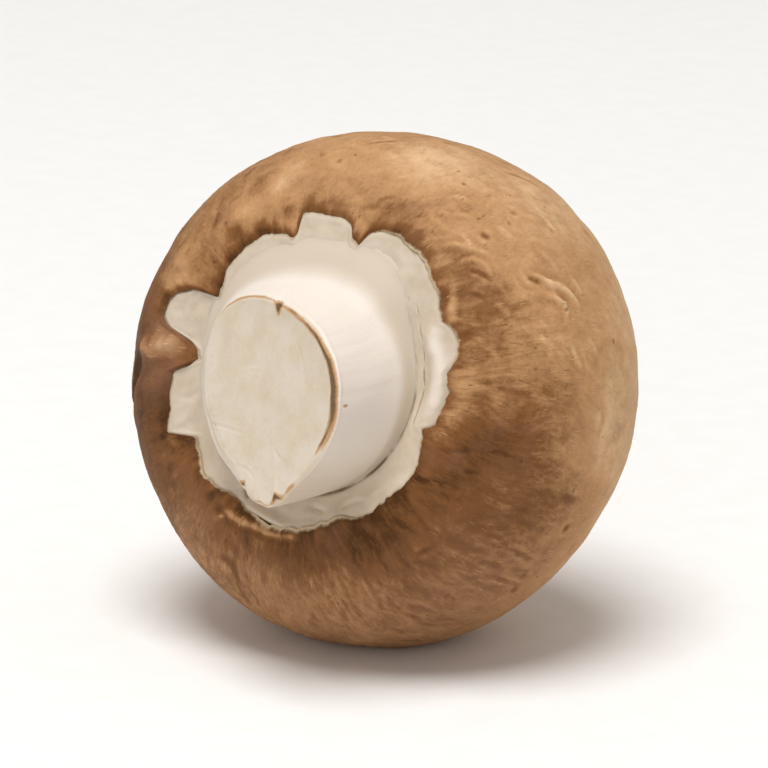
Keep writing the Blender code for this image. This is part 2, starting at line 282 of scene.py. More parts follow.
def capLine():
    # radius, height and arc length down the cap's profile, from its crown to the axis underneath
    crownR, crownZ = quarterLine(cap["radius"], cap["crownHeight"], cap["crownFullness"])
    roll = cap["radius"] - cap["marginFlatRadius"]
    marginR, marginZ = quarterLine(roll, cap["marginDrop"], cap["marginFullness"])
    r = np.concatenate([crownR, (cap["marginFlatRadius"] + marginR)[::-1][1:], [0.0]])
    z = np.concatenate([crownZ, -marginZ[::-1][1:], [-cap["marginDrop"]]])
    arc = np.concatenate([[0.0], np.cumsum(np.hypot(np.diff(r), np.diff(z)))])
    return r, z, arc, arc[len(crownR) - 1]


lineR, lineZ, lineArc, equatorArc = capLine()
under = lineArc >= equatorArc


def capSwell(angle):
    swell = np.ones_like(angle, dtype=float)
    for share, count, first in cap["swells"]:
        swell += share * np.cos(count * np.radians(angle - first))
    return swell


def capPoint(angle, arc, rise=0.0):
    # a point of the cap's skin, raised along its normal
    step = 0.05
    r, z = np.interp(arc, lineArc, lineR), np.interp(arc, lineArc, lineZ)
    ahead, behind = np.minimum(arc + step, lineArc[-1]), np.maximum(arc - step, 0.0)
    dr = np.interp(ahead, lineArc, lineR) - np.interp(behind, lineArc, lineR)
    dz = np.interp(ahead, lineArc, lineZ) - np.interp(behind, lineArc, lineZ)
    size = np.maximum(np.hypot(dr, dz), 1e-6)
    share = 1.0 + (capSwell(angle) - 1.0) * np.minimum(1.0, r / cap["marginFlatRadius"])
    return ringPoint(r * share - rise * dz / size, angle, z + rise * dr / size)


def edgeRadius(angle):
    # radius of the skin's torn edge, with its fine rags
    angles, radii = zip(*skinEdge)
    radius = np.interp(angle % fullTurn, angles, radii, period=fullTurn)
    for size, height in skinRelief["edgeRag"]:
        radius = radius + height * cloud(ringPoint(15.0, angle, 0.0), size, 2, seed=1)
    return radius


def edgeArc(angle):
    # arc length from the crown to the torn edge
    return np.interp(edgeRadius(angle) / capSwell(angle), lineR[under][::-1], lineArc[under][::-1])


# Laying the pieces over and closing their meshes

laidOver = np.array(Matrix.Rotation(-math.radians(90.0 + cap["stemRise"]), 3, "X"))


def laid(points):
    return np.asarray(points, float).reshape(-1, 3) @ laidOver.T * mm


def restingPlace():
    # the smooth cap's laid box ends where the solid cap's does, on the far and the upper side
    angles, arcs = np.meshgrid(columnAngles(360), np.linspace(0.0, lineArc[-1], 400))
    return np.array(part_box("cap")[1]) - laid(capPoint(angles, arcs)).max(axis=0)


origin = restingPlace() * (0.0, 1.0, 1.0)


def inPlace(points):
    world = laid(points) + origin
    world[:, 2] = np.maximum(world[:, 2], 0.0)  # the soft cap is flattened where it rests
    return world


def gridPiece(name, grid, fields, material, closedBy="poles"):
    # a closed skin over rows of points that run round the mushroom's axis. Its ends are drawn
    # together to poles, or its last row is joined to the first
    columns = grid.shape[1]
    rings = closedBy == "rows"
    body = grid if rings else grid[1:-1]
    index = np.arange(body.shape[0] * columns).reshape(-1, columns)
    after = np.roll(index, -1, axis=1)
    low, high = (index, np.roll(index, -1, axis=0)) if rings else (index[:-1], index[1:])
    lowAfter, highAfter = (after, np.roll(after, -1, axis=0)) if rings else (after[:-1], after[1:])
    quads = np.stack([low, lowAfter, highAfter, high], axis=-1).reshape(-1, 4)
    faces = quads.tolist()
    verts = body.reshape(-1, 3)
    if not rings:
        first = len(verts)
        verts = np.vstack([verts, grid[0].mean(axis=0), grid[-1].mean(axis=0)])
        faces += np.stack([np.full(columns, first), after[0], index[0]], axis=1).tolist()
        faces += np.stack([np.full(columns, first + 1), index[-1], after[-1]], axis=1).tolist()
    verts = inPlace(verts)
    a, b, c, d = (verts[quads[:, corner]] for corner in range(4))
    inner = np.einsum("ij,ij->i", a, np.cross(b, c)) + np.einsum("ij,ij->i", a, np.cross(c, d))
    if inner.sum() < 0:
        faces = [face[::-1] for face in faces]
    mesh = bpy.data.meshes.new(name)
    mesh.from_pydata(verts.tolist(), [], faces)
    for label, values in fields.items():
        vector = values.ndim == 3
        flat = values if rings else values[1:-1]
        flat = flat.reshape(-1, 3) if vector else flat.reshape(-1)
        if not rings:
            flat = np.concatenate([flat, [values[0].mean(axis=0), values[-1].mean(axis=0)]])
        layer = mesh.attributes.new(label, "FLOAT_VECTOR" if vector else "FLOAT", "POINT")
        layer.data.foreach_set("vector" if vector else "value", flat.astype(np.float32).ravel())
    mesh.shade_smooth()
    mesh.materials.append(material)
    piece = bpy.data.objects.new(name, mesh)
    bpy.context.scene.collection.objects.link(piece)
    print(name, "has", len(faces), "faces")
    return piece


def grainAt(angle, along, ring=25.0):
    # a place in mm that runs round the mushroom and along it, without a seam
    x, y = onRing(ring, angle)
    return np.stack([x, y, along + 0.0 * x], axis=-1)


# Materials

def linear(hexColour):
    parts = [int(hexColour[i:i + 2], 16) / 255.0 for i in (1, 3, 5)]
    return tuple(p / 12.92 if p <= 0.04045 else ((p + 0.055) / 1.055) ** 2.4 for p in parts) + (1.0,)


def addNode(tree, kind, links=None, out=0, **settings):
    # adds a node with its settings, fills or links its inputs, and gives back one output
    node = tree.nodes.new(kind)
    for name, value in settings.items():
        setattr(node, name, value)
    for socket, value in (links or {}).items():
        if isinstance(value, bpy.types.NodeSocket):
            tree.links.new(value, node.inputs[socket])
        else:
            node.inputs[socket].default_value = value
    return node.outputs[out]


def newMaterial(name, values):
    # a Principled material with its plain values, and its places in mm
    material = bpy.data.materials.new(name)
    material.use_nodes = True
    tree = material.node_tree
    shader = tree.nodes["Principled BSDF"]
    for socket, value in values.items():
        shader.inputs[socket].default_value = value
    here = addNode(tree, "ShaderNodeTexCoord", out="Object")
    place = addNode(tree, "ShaderNodeVectorMath", {0: here, 1: (1.0 / mm,) * 3}, operation="MULTIPLY")
    return material, tree, shader, place


def coated(tree, shader, colour, height, depth, strength):
    # gives the shader its colour, and the relief that is too fine for the mesh
    tree.links.new(colour, shader.inputs["Base Color"])
    links = {"Height": height, "Distance": depth * mm, "Strength": strength}
    tree.links.new(addNode(tree, "ShaderNodeBump", links), shader.inputs["Normal"])


def featured(tree, where, patterns):
    # one noise for each pattern: its size in mm along three axes, its detail and its roughness
    made = []
    for size, detail, rough in patterns:
        scaled = addNode(tree, "ShaderNodeVectorMath", {0: where, 1: size}, operation="DIVIDE")
        links = {"Vector": scaled, "Scale": 1.0, "Detail": detail, "Roughness": rough}
        made.append(addNode(tree, "ShaderNodeTexNoise", links, out="Fac"))
    return made


def weighed(tree, start, parts):
    # start plus each value times its weight
    total = start
    for value, weight in parts:
        links = {0: value, 1: weight, 2: total}
        total = addNode(tree, "ShaderNodeMath", links, operation="MULTIPLY_ADD")
    return total


def painted(tree, colour, coats):
    # coats of colour over a ground; each begins at one value of its mask and is full at another
    for mask, start, full, hexColour, most in coats:
        rise = {"Value": mask, "From Min": start, "From Max": full, "To Min": 0.0, "To Max": most}
        share = addNode(tree, "ShaderNodeMapRange", rise, interpolation_type="SMOOTHSTEP")
        mixed = {0: share, 6: colour, 7: linear(hexColour)}
        colour = addNode(tree, "ShaderNodeMix", mixed, out=2, data_type="RGBA")
    return colour


skinFinish = {
    "pale": "#E1BA8F", "tan": "#BC8E61", "brown": "#7B4F29", "dark": "#4A2A0B",
    "rose": "#8C634A", "olive": "#8C6A3E", "straw": "#E6D2AE", "flesh": "#DDCFB9", "speck": "#553419",
    "roughness": 0.64,
}


def mushroomSkin():
    # Cuticle of a brown mushroom, dry and matt and combed with fibres. It gives the eye short
    # streaks that run to the stem, a mottled ground, small dark specks and a faint broad sheen
    material, tree, shader, place = newMaterial("mushroomSkin", {
        "Roughness": skinFinish["roughness"], "IOR": 1.42, "Metallic": 0.0,
        "Subsurface Weight": 0.08, "Subsurface Radius": (1.0, 0.5, 0.3), "Subsurface Scale": 0.8 * mm,
        "Sheen Weight": 0.02, "Sheen Roughness": 0.5, "Sheen Tint": linear("#E8CDA8"),
        "Specular IOR Level": 0.18,
    })
    # the pigment attribute also carries painted shade along the torn edge and on the sides, and painted
    # highlights on raised strokes
    combed, pigmentAndShading, mottled, rosy, edge, straw = (
        addNode(tree, "ShaderNodeAttribute", out="Fac", attribute_name=label)
        for label in ("combed", "pigmentAndShading", "mottled", "rosy", "edgeDistance", "straw")
    )
    grain = addNode(tree, "ShaderNodeAttribute", out="Vector", attribute_name="grain")
    streak, fine, long = featured(tree, grain, (
        ((0.55, 0.55, 1.9), 2.0, 0.55), ((0.22, 0.22, 0.9), 2.0, 0.6), ((1.4, 1.4, 3.8), 2.0, 0.5),
    ))
    mottle, patch, grit, flush, fleck = featured(tree, place, (
        ((1.5,) * 3, 4.0, 0.62), ((5.0,) * 3, 3.0, 0.5), ((0.35,) * 3, 3.0, 0.6), ((3.4,) * 3, 3.0, 0.6),
        ((0.9,) * 3, 2.0, 0.6),
    ))
    hair = weighed(tree, -0.5, ((streak, 0.60), (fine, 0.14), (long, 0.26)))
    hair = addNode(tree, "ShaderNodeMath", {0: hair, 1: combed}, operation="MULTIPLY")
    blotch = weighed(tree, -0.49, ((mottle, 0.34), (patch, 0.40), (grit, 0.24)))
    tone = weighed(tree, pigmentAndShading, ((hair, 0.60), (blotch, mottled)))
    flush = addNode(tree, "ShaderNodeMath", {0: flush, 1: 0.5}, operation="SUBTRACT")
    flush = addNode(tree, "ShaderNodeMath", {0: flush, 1: mottled}, operation="MULTIPLY")
    fleck = weighed(tree, fleck, ((patch, 0.3),))
    colour = painted(tree, linear(skinFinish["pale"]), (
        (tone, 0.0, 0.45, skinFinish["tan"], 1.0),
        (tone, 0.36, 0.80, skinFinish["brown"], 1.0),
        (tone, 0.74, 1.20, skinFinish["dark"], 1.0),
        (rosy, 0.0, 1.0, skinFinish["rose"], 0.50),
        (flush, 0.0, 0.30, skinFinish["rose"], 0.40),
        (flush, 0.0, -0.26, skinFinish["olive"], 0.24),
        (fleck, 0.84, 0.92, skinFinish["speck"], 0.35),
    ))
    spots = addNode(tree, "ShaderNodeTexVoronoi", {"Vector": grain, "Scale": 0.34}, feature="F1")
    colour = painted(tree, colour, ((spots, 0.10, 0.055, skinFinish["speck"], 0.5),))
    ragged = weighed(tree, edge, ((grit, 0.4), (fine, 0.16)))
    cream = addNode(tree, "ShaderNodeMath", {0: ragged, 1: straw}, operation="SUBTRACT")
    colour = painted(tree, colour, (
        (cream, 0.20, -0.30, skinFinish["straw"], 0.8),
        (edge, -0.45, -0.8, skinFinish["flesh"], 1.0),
    ))
    coated(tree, shader, colour, weighed(tree, hair, ((grit, 0.35), (mottle, 0.35))), 0.10, 0.8)
    return material


fleshFinish = {
    "veil": "#CFBFAB", "veilShade": "#C0AF99", "silk": "#E8DDD1", "silkShade": "#DACDBF",
    "cut": "#D9CCBB", "cutShade": "#D0BFA5", "cutPore": "#B8A583", "stainAndShading": "#A9947A",
    "tanRim": "#BF9468", "brownRim": "#6B5337",
}


def veilTissue():
    # Veil of a closed mushroom, a thin moist sheet: off-white, faintly mottled, and light goes a
    # little way in
    material, tree, shader, place = newMaterial("veilTissue", {
        "Roughness": 0.6, "IOR": 1.40, "Metallic": 0.0,
        "Subsurface Weight": 0.35, "Subsurface Radius": (1.0, 0.7, 0.45), "Subsurface Scale": 1.0 * mm,
    })
    stainAndShading = addNode(tree, "ShaderNodeAttribute", out="Fac", attribute_name="browningAndShading")
    mottle, grit = featured(tree, place, (((2.0,) * 3, 4.0, 0.55), ((0.3,) * 3, 3.0, 0.6)))
    ragged = weighed(tree, stainAndShading, ((mottle, 0.25), (grit, 0.3)))
    # the browning attribute also carries painted shade in the crevice and sunk strokes, and painted light
    # where it is below zero
    colour = painted(tree, linear(fleshFinish["veil"]), (
        (mottle, 0.35, 0.75, fleshFinish["veilShade"], 0.8),
        (stainAndShading, -0.02, -0.4, fleshFinish["silk"], 0.7),
        (ragged, 0.42, 0.8, fleshFinish["stainAndShading"], 0.9),
        (ragged, 0.75, 1.15, fleshFinish["brownRim"], 1.0),
    ))
    coated(tree, shader, colour, weighed(tree, 0.0, ((mottle, 0.7), (grit, 0.35))), 0.12, 0.6)
    return material


def stemTissue():
    # Flesh of the stem: silky white along the side. The cut face is drier and cream, with fine
    # pores, and air has browned its rim
    material, tree, shader, place = newMaterial("stemTissue", {
        "Roughness": 0.56, "IOR": 1.40, "Metallic": 0.0,
        "Subsurface Weight": 0.35, "Subsurface Radius": (1.0, 0.7, 0.45), "Subsurface Scale": 1.2 * mm,
    })
    # the browning attribute also carries painted shade in the cut's cracks and along its left rim
    cutFace, browningAndShading, base = (
        addNode(tree, "ShaderNodeAttribute", out="Fac", attribute_name=label)
        for label in ("cutFace", "browningAndShading", "veilTintAndUnderShade")
    )
    grain = addNode(tree, "ShaderNodeAttribute", out="Vector", attribute_name="grain")
    silk, = featured(tree, grain, (((0.7, 0.7, 9.0), 3.0, 0.5),))
    mottle, pore = featured(tree, place, (((2.6,) * 3, 4.0, 0.55), ((0.3,) * 3, 3.0, 0.6)))
    # the side takes the veil's colour near the veil, and on its underside as painted shade
    side = painted(tree, linear(fleshFinish["silk"]), (
        (silk, 0.42, 0.8, fleshFinish["silkShade"], 0.2),
        (base, 0.2, 1.0, fleshFinish["veil"], 1.0),
    ))
    face = painted(tree, linear(fleshFinish["cut"]), (
        (mottle, 0.34, 0.72, fleshFinish["cutShade"], 0.8),
        (pore, 0.52, 0.8, fleshFinish["cutPore"], 0.35),
    ))
    colour = addNode(tree, "ShaderNodeMix", {0: cutFace, 6: side, 7: face}, out=2, data_type="RGBA")
    ragged = weighed(tree, browningAndShading, ((mottle, 0.3), (pore, 0.3)))
    colour = painted(tree, colour, (
        (ragged, 0.42, 0.72, fleshFinish["tanRim"], 0.95),
        (ragged, 0.82, 1.2, fleshFinish["brownRim"], 1.0),
    ))
    height = weighed(tree, 0.0, ((silk, 0.15), (pore, 0.4), (mottle, 0.5)))
    coated(tree, shader, colour, height, 0.07, 0.6)
    return material


# The cap's skin

def scattered(seed, count, *ranges):
    draw = np.random.default_rng(seed)
    rows = []
    for _ in range(count):
        at, there, turned, length, width, rise, tone = (draw.uniform(*span) for span in ranges)
        rows.append((at, there, turned, length, draw.uniform(-0.15, 0.15) * length, width, rise, tone))
    return tuple(rows)


def placedMarks(angle, arc, radius, marks):
    total = np.zeros_like(arc)
    for at, there, size, amount in marks:
        across = np.radians(apart(angle, at)) * radius
        total += amount * bump(np.hypot(across, arc - there), size)
    return total


def skinPits(angle, arc, radius):
    # small scars and dents of the crown
    seed, count, thin, wide, low, deep = skinRelief["pits"]
    draw = np.random.default_rng(seed)
    total = np.zeros_like(arc)
    for _ in range(count):
        at, there = draw.uniform(0.0, fullTurn), 34.0 * math.sqrt(draw.uniform(0.01, 1.0))
        across = np.radians(apart(angle, at)) * radius
        spread = bump(np.hypot(across, (arc - there) * 0.6), draw.uniform(thin, wide))
        total += draw.uniform(low, deep) * spread
    return total


def skinRows():
    # angle, arc length and distance from the torn edge over the skin; the rows crowd to the edge
    angles = columnAngles(cap["columns"])
    ends = edgeArc(angles)
    middleEnd = ends.mean()
    crownArcs = np.linspace(0.0, 1.0, cap["crownRows"]) * equatorArc
    shares = 1.0 - (1.0 - np.linspace(0.0, 1.0, cap["marginRows"] + 1)[1:]) ** 1.25
    marginArcs = equatorArc + (middleEnd - equatorArc) * shares
    arc = np.concatenate([
        np.repeat(crownArcs[:, None], len(angles), axis=1),
        marginArcs[:, None] + (ends - middleEnd) * shares[:, None] ** 4,
    ])
    return np.broadcast_to(angles, arc.shape), arc, ends - arc


def combing(angle, arc, lower):
    # how strongly the skin is combed to the stem
    least, allRound, below, right = skinRelief["combing"]
    rightAt, rightWide = skinRelief["combedRight"]
    combed = (allRound + below * lower) * ramp(arc, 26.0, 46.0) + least
    return combed + right * bump(apart(angle, rightAt), rightWide) * ramp(arc, 38.0, 47.0)


def tornRim(edge, angles):
    # the torn edge turns in, and the flesh behind it closes behind the veil
    inward = -ringPoint(1.0, angles, 0.0)
    flutter = 1.0 + 0.3 * cloud(edge, 0.9, 2, seed=7)
    rows = []
    for across, deeper, _ in skinRelief["tear"]:
        row = edge + inward * (across * flutter)[:, None]
        row[:, 2] += deeper * flutter
        rows.append(row)
    wall, half = edge.copy(), edge * 0.5
    wall[:, 2] = half[:, 2] = cap["recessFloor"]
    return rows + [wall, half, 0.0 * half + [0.0, 0.0, cap["recessFloor"]]]


def pigmentAndEdgeShade(angle, arc, distance, lower, crown):
    # the skin's darkness by side, partly pigment and partly painted shade, and its bands of painted shade
    # along the torn edge
    pigmentAndShading = skinToneAndShading["plain"] + skinToneAndShading["crown"] * crown
    for at, wide, amount in skinToneAndShading["sides"]:
        pigmentAndShading = pigmentAndShading + amount * bump(apart(angle, at), wide) * ramp(arc, 30.0, 46.0)
    uneven = 1.0 + 0.9 * cloud(grainAt(angle, 0.3 * arc), 1.6, 3, seed=8)
    toothAt, toothWide, lighter = skinToneAndShading["tooth"]
    uneven *= 1.0 - lighter * bump(apart(angle, toothAt), toothWide)
    # painted shade along the torn edge
    wide, amount = skinToneAndShading["edgeShade"]
    pigmentAndShading += amount * uneven * bump(distance, wide * uneven + 0.2)
    bandAt, wide, amount = skinToneAndShading["shadeBand"]
    return pigmentAndShading + amount * lower * bump(distance - bandAt, wide)


def capPiece(material):
    angle, arc, distance = skinRows()
    plain = capPoint(angle, arc)
    radius = np.maximum(np.hypot(plain[..., 0], plain[..., 1]), 0.5)
    grain = grainAt(angle + 4.0 * cloud(plain, 7.0, 2, seed=2), arc)
    lower, upperLeft = (bump(apart(angle, at), wide) for at, wide in skinRelief["quarters"])
    combed = combing(angle, arc, lower)

    lumpSize, lumpHigh = skinRelief["lumps"]
    dimpleSize, dimpleHigh = skinRelief["dimples"]
    furrowWide, furrowLong, furrowHigh = skinRelief["furrow"]
    pleatWide, pleatReach, pleatHigh = skinRelief["pleat"]
    lipAt, lipWide, lipHigh = skinRelief["lip"]
    roundWide, roundDeep = skinRelief["edgeRound"]
    furrows = cloud(grain / np.array([furrowWide, furrowWide, furrowLong]), 1.0, 3, seed=5)
    pleats = cloud(grainAt(angle, 0.12 * arc) / pleatWide, 1.0, 2, seed=6)
    pits = skinPits(angle, arc, radius)
    marks = skinStrokes
    for spec in skinScatter:
        marks = marks + scattered(*spec)

    def offsets(at, there):
        return np.radians(apart(angle, at)) * radius, arc - there

    relief, tone = strokes(offsets, marks)
    rise = relief - pits + lumpHigh * cloud(plain, lumpSize, 2, seed=3)
    rise += dimpleHigh * cloud(plain, dimpleSize, 3, seed=4)
    rise += furrowHigh * furrows * np.clip(combed, 0.0, 1.0)
    rise += pleatHigh * pleats * bump(distance, pleatReach)
    rise += lipHigh * bump(distance - lipAt, lipWide) * (0.5 + 0.5 * upperLeft)
    rise -= roundDeep * bump(distance, roundWide)
    skin = capPoint(angle, arc, rise)

    crown = ramp(arc, 38.0, 20.0)
    pleatShadeWide, pleatShade = skinToneAndShading["pleats"]
    pigmentAndShading = pigmentAndEdgeShade(angle, arc, distance, lower, crown)
    # painted shade in the scallops of the upper left edge
    pigmentAndShading += pleatShade * upperLeft * bump(distance, pleatShadeWide) * (1.0 + pleats)
    pigmentAndShading += placedMarks(angle, arc, radius, skinToneAndShading["blotchesAndPaintedShading"]) + tone
    pigmentAndShading += skinToneAndShading["pits"] * pits + skinToneAndShading["furrows"] * furrows * combed
    standing = inPlace(skin)[:, 2].reshape(arc.shape) / mm
    fields = {
        "grain": grain, "pigmentAndShading": pigmentAndShading,
        "mottled": 1.0 - (1.0 - skinToneAndShading["crownMottle"]) * crown,
        "combed": np.clip(combed, 0.0, 1.0) * ramp(distance, 0.2, 0.8) * ramp(standing, 0.1, 0.4),
        "rosy": placedMarks(angle, arc, radius, skinToneAndShading["rosy"]),
        "straw": sum(amount * bump(apart(angle, at), wide) for at, wide, amount in skinToneAndShading["straw"]),
        "along": (capPoint(angle, arc + 0.5) - capPoint(angle, arc - 0.5)) @ laidOver.T,
    }
    past = -np.array([along for *_, along in skinRelief["tear"]] + [*skinRelief["behind"]])
    extra = len(past)
    fields = {name: np.concatenate([v, np.repeat(v[-1:], extra, axis=0)]) for name, v in fields.items()}
    fields["edgeDistance"] = np.concatenate([distance, np.repeat(past[:, None], arc.shape[1], axis=1)])
    return gridPiece("capSkin", np.concatenate([skin, tornRim(skin[-1], angle[0])]), fields, material)


# Fine fibres that lie on the skin, combed to the stem

fibres = {
    "perSquareMm": 1.6,
    "length": (0.4, 1.3),  # least and most, in mm
    "width": (0.09, 0.18),
    "height": (0.03, 0.05),
    "stray": 14.0,  # degrees off the combing
    "seed": 4,
    "contrast": 0.20,  # how far they differ from the skin in tone
}


def skinFibre():
    # Single fibres of the cuticle, each a little lighter or darker than the skin it lies on. They
    # give the eye a fine nap where the skin is combed
    material, tree, shader, place = newMaterial("skinFibre", {
        "Roughness": 0.7, "IOR": 1.42, "Metallic": 0.0, "Specular IOR Level": 0.3,
    })
    pigmentAndShading, mottled, tint = (
        addNode(tree, "ShaderNodeAttribute", out="Fac", attribute_name=label)
        for label in ("pigmentAndShading", "mottled", "tint")
    )
    mottle, = featured(tree, place, (((1.5,) * 3, 4.0, 0.62),))
    blotch = weighed(tree, -0.17, ((mottle, 0.34),))
    start = -0.5 * fibres["contrast"]
    tone = weighed(tree, start, ((pigmentAndShading, 1.0), (blotch, mottled), (tint, fibres["contrast"])))
    colour = painted(tree, linear(skinFinish["pale"]), (
        (tone, 0.0, 0.45, skinFinish["tan"], 1.0),
        (tone, 0.36, 0.80, skinFinish["brown"], 1.0),
        (tone, 0.74, 1.40, skinFinish["dark"], 0.6),
    ))
    tree.links.new(colour, shader.inputs["Base Color"])
    return material


def fibreTree(material):
    # spindles on points of the skin, denser where it is combed and turned along the combing
    tree = bpy.data.node_groups.new("skinFibres", "GeometryNodeTree")
    tree.interface.new_socket("Geometry", in_out="OUTPUT", socket_type="NodeSocketGeometry")
    for name, kind in (
        ("Geometry", "Geometry"), ("Density", "Float"), ("Least size", "Vector"),
        ("Most size", "Vector"), ("Stray", "Float"), ("Seed", "Int"),
    ):
        tree.interface.new_socket(name, in_out="INPUT", socket_type="NodeSocket" + kind)
    given = tree.nodes.new("NodeGroupInput").outputs
    combed = addNode(tree, "GeometryNodeInputNamedAttribute", {"Name": "combed"}, data_type="FLOAT")
    along = addNode(tree, "GeometryNodeInputNamedAttribute", {"Name": "along"}, data_type="FLOAT_VECTOR")
    dense = addNode(tree, "ShaderNodeMath", {0: combed, 1: given["Density"]}, operation="MULTIPLY")
    spread = {"Mesh": given["Geometry"], "Density": dense, "Seed": given["Seed"]}
    points = addNode(tree, "GeometryNodeDistributePointsOnFaces", spread, distribute_method="RANDOM")
    turn = addNode(tree, "FunctionNodeAxesToRotation", {0: points.node.outputs["Normal"], 1: along})
    most = addNode(tree, "ShaderNodeCombineXYZ", {"Z": given["Stray"]})
    least = addNode(tree, "ShaderNodeVectorMath", {0: most, 1: (-1.0,) * 3}, operation="MULTIPLY")
    stray = addNode(tree, "FunctionNodeRandomValue", {0: least, 1: most}, data_type="FLOAT_VECTOR")
    turn = addNode(tree, "FunctionNodeRotateRotation", {0: turn, 1: stray}, rotation_space="LOCAL")
    sizes = {0: given["Least size"], 1: given["Most size"]}
    size = addNode(tree, "FunctionNodeRandomValue", sizes, data_type="FLOAT_VECTOR")
    spindle = addNode(tree, "GeometryNodeMeshIcoSphere", {"Radius": 0.5, "Subdivisions": 1})
    placed = {"Points": points, "Instance": spindle, "Rotation": turn, "Scale": size}
    made = addNode(tree, "GeometryNodeInstanceOnPoints", placed)
    tint = addNode(tree, "FunctionNodeRandomValue", {2: 0.0, 3: 1.0}, out=1, data_type="FLOAT")
    kept = {"Geometry": made, "Name": "tint", "Value": tint}
    made = addNode(tree, "GeometryNodeStoreNamedAttribute", kept, data_type="FLOAT", domain="INSTANCE")
    made = addNode(tree, "GeometryNodeRealizeInstances", {"Geometry": made})
    made = addNode(tree, "GeometryNodeSetMaterial", {"Geometry": made, "Material": material})
    tree.links.new(made, tree.nodes.new("NodeGroupOutput").inputs["Geometry"])
    return tree


def fibrePiece(skin, material):
    piece = bpy.data.objects.new("skinFibres", skin.data.copy())
    bpy.context.scene.collection.objects.link(piece)
    tree = fibreTree(material)
    small, large = ([fibres[name][end] * mm for name in ("length", "width", "height")] for end in (0, 1))
    values = {
        "Density": fibres["perSquareMm"] / mm**2, "Least size": small, "Most size": large,
        "Stray": math.radians(fibres["stray"]), "Seed": fibres["seed"],
    }
    modifier = piece.modifiers.new("fibres", "NODES")
    modifier.node_group = tree
    for socket in tree.interface.items_tree:
        if socket.name in values:
            modifier[socket.identifier] = values[socket.name]
    evaluated = piece.evaluated_get(bpy.context.evaluated_depsgraph_get())
    mesh = bpy.data.meshes.new_from_object(evaluated)
    piece.modifiers.remove(modifier)
    piece.data = mesh
    print("skinFibres has", len(mesh.polygons), "faces")
    return piece


# The veil's face, which the stem's foot meets

veil = {
    "columns": 540,
    "faceRows": 60,
    "sink": 0.32,  # how far it lies below the skin
    "funnel": 0.5,
    "flare": ((112.0, 66.0, 1.3), (190.0, 34.0, 0.7), (48.0, 26.0, 0.5)),  # angle, half width, height
    "thickness": 1.5,
    "tuck": 0.3,  # how far it runs on under the skin
    "lumps": (2.6, 0.08),
    "folds": (1.1, 0.035),
    "browned": (0.40, 0.42),  # width and amount along the torn skin
    "border": (0.45, 0.45, 0.10),  # distance from the skin, width and height of its swollen border
    "grownOn": 0.35,  # how far it reaches into the stem
    # the crevice beside the stem: angle and half width in degrees, share of its full depth
    "crevice": ((322.0, 28.0, 1.0), (292.0, 16.0, 0.6), (4.0, 14.0, 0.35)),
    "creviceShape": (0.48, 0.16, 0.36),  # distance, width, depth
    "creviceLip": (0.95, 0.40, 0.08),
}

# What stands, sinks or is stained on the veil: angle and radius about the stem, then as above
# Sunk strokes are darkened with painted shade, as in the dotted crevice by the stem, and the raised flap
# on the right is painted lighter, as painted light
veilStrokes = (
    (6, 13.5, 86, 7, -0.3, 0.9, 0.5, -0.4),
    (22, 13.8, 70, 3, 0.2, 0.8, 0.26, -0.24),
    (350, 11.95, 90, 2.2, 0, 0.1, -0.14, 0.52),
    (358.5, 12.05, 84, 1.6, 0, 0.1, -0.12, 0.5),
    (8, 12.1, 94, 1.8, 0.1, 0.1, -0.12, 0.52),
    (17.5, 12.2, 88, 1.3, 0, 0.09, -0.1, 0.46),
    (27, 12.45, 82, 1.7, 0.1, 0.09, -0.1, 0.44),
    (37, 12.95, 76, 1.3, 0, 0.08, -0.08, 0.36),
    (340, 12.9, 90, 4, 0, 0.8, 0.14, 0),
    (259, 14.1, 84, 6.2, 0.2, 0.42, 0.34, -0.05),
    (259, 14.75, 86, 5, 0.2, 0.2, -0.2, 0.75),
    (247, 13, 60, 1.2, 0, 0.3, -0.15, 0.75),
    (283, 12.6, 70, 1.6, 0, 0.25, -0.12, 0.35),
    (160, 16.6, 40, 2.4, 0.3, 0.45, 0.16, 0.1),
    (166, 16.5, 20, 1.4, 0, 0.3, -0.1, 0.16),
    (159, 15.2, 70, 1.8, 0.2, 0.35, 0.12, 0),
    (204, 14.4, 30, 2, 0.2, 0.35, 0.12, 0.05),
    (196, 13.4, 10, 2.2, 0.2, 0.3, -0.08, 0.05),
    (60, 14.6, 80, 2.6, 0.2, 0.4, 0.1, 0.04),
    (41, 12, 30, 1.8, 0.2, 0.2, -0.1, 0.1),
    (315, 13.4, 80, 3.2, 0.2, 0.35, 0.12, 0),
    (300, 13.1, 86, 2.6, 0.2, 0.25, -0.1, 0.1),
    (228, 13, 80, 3, 0.2, 0.35, 0.1, 0),
    (110, 14, 84, 3.4, 0.3, 0.4, -0.06, 0.04),
)

stem = {
    "centre": (0.6, -0.4),
    "baseRadius": 11.0,
    "length": 6.9,
    "sag": 2.8,
    "cutTilt": 20.0,
    "waist": 0.34,  # share of the taper that is over close to the veil
    "rootTop": -9.0,
    "columns": 480,
    "filletRows": 14,
    "sideRows": 56,
    "cutRows": 56,
    "fluting": 0.012,
    # nicks in the cut's rim: angle, depth, size
    "nicks": ((96.0, 0.35, 0.5), (289.0, 0.55, 0.45), (259.0, 0.40, 0.4), (276.0, 0.2, 0.35)),
    "rag": (1.4, 0.06),  # size and height of the unevenness of the cut's outline
    "leftRim": (205.0, 62.0, 0.38, 0.55),  # the rim that is rounder: angle, half width, depth, width
    "rimRoll": (0.25, 0.30, 0.10),  # distance from the rim, width, height
    "dishing": (0.1, 2.4, 0.16),  # the cut face sinks from here to here, by this much
    "speck": (3.0, 1.2),  # a brown speck on the side: angle, distance from the rim
    "lumps": 0.12,
    # how far it spreads on to the veil: angle, half width in degrees, reach
    "spread": ((132.0, 42.0, 2.4), (78.0, 30.0, 1.6), (192.0, 34.0, 1.0), (54.0, 22.0, 1.6)),
}

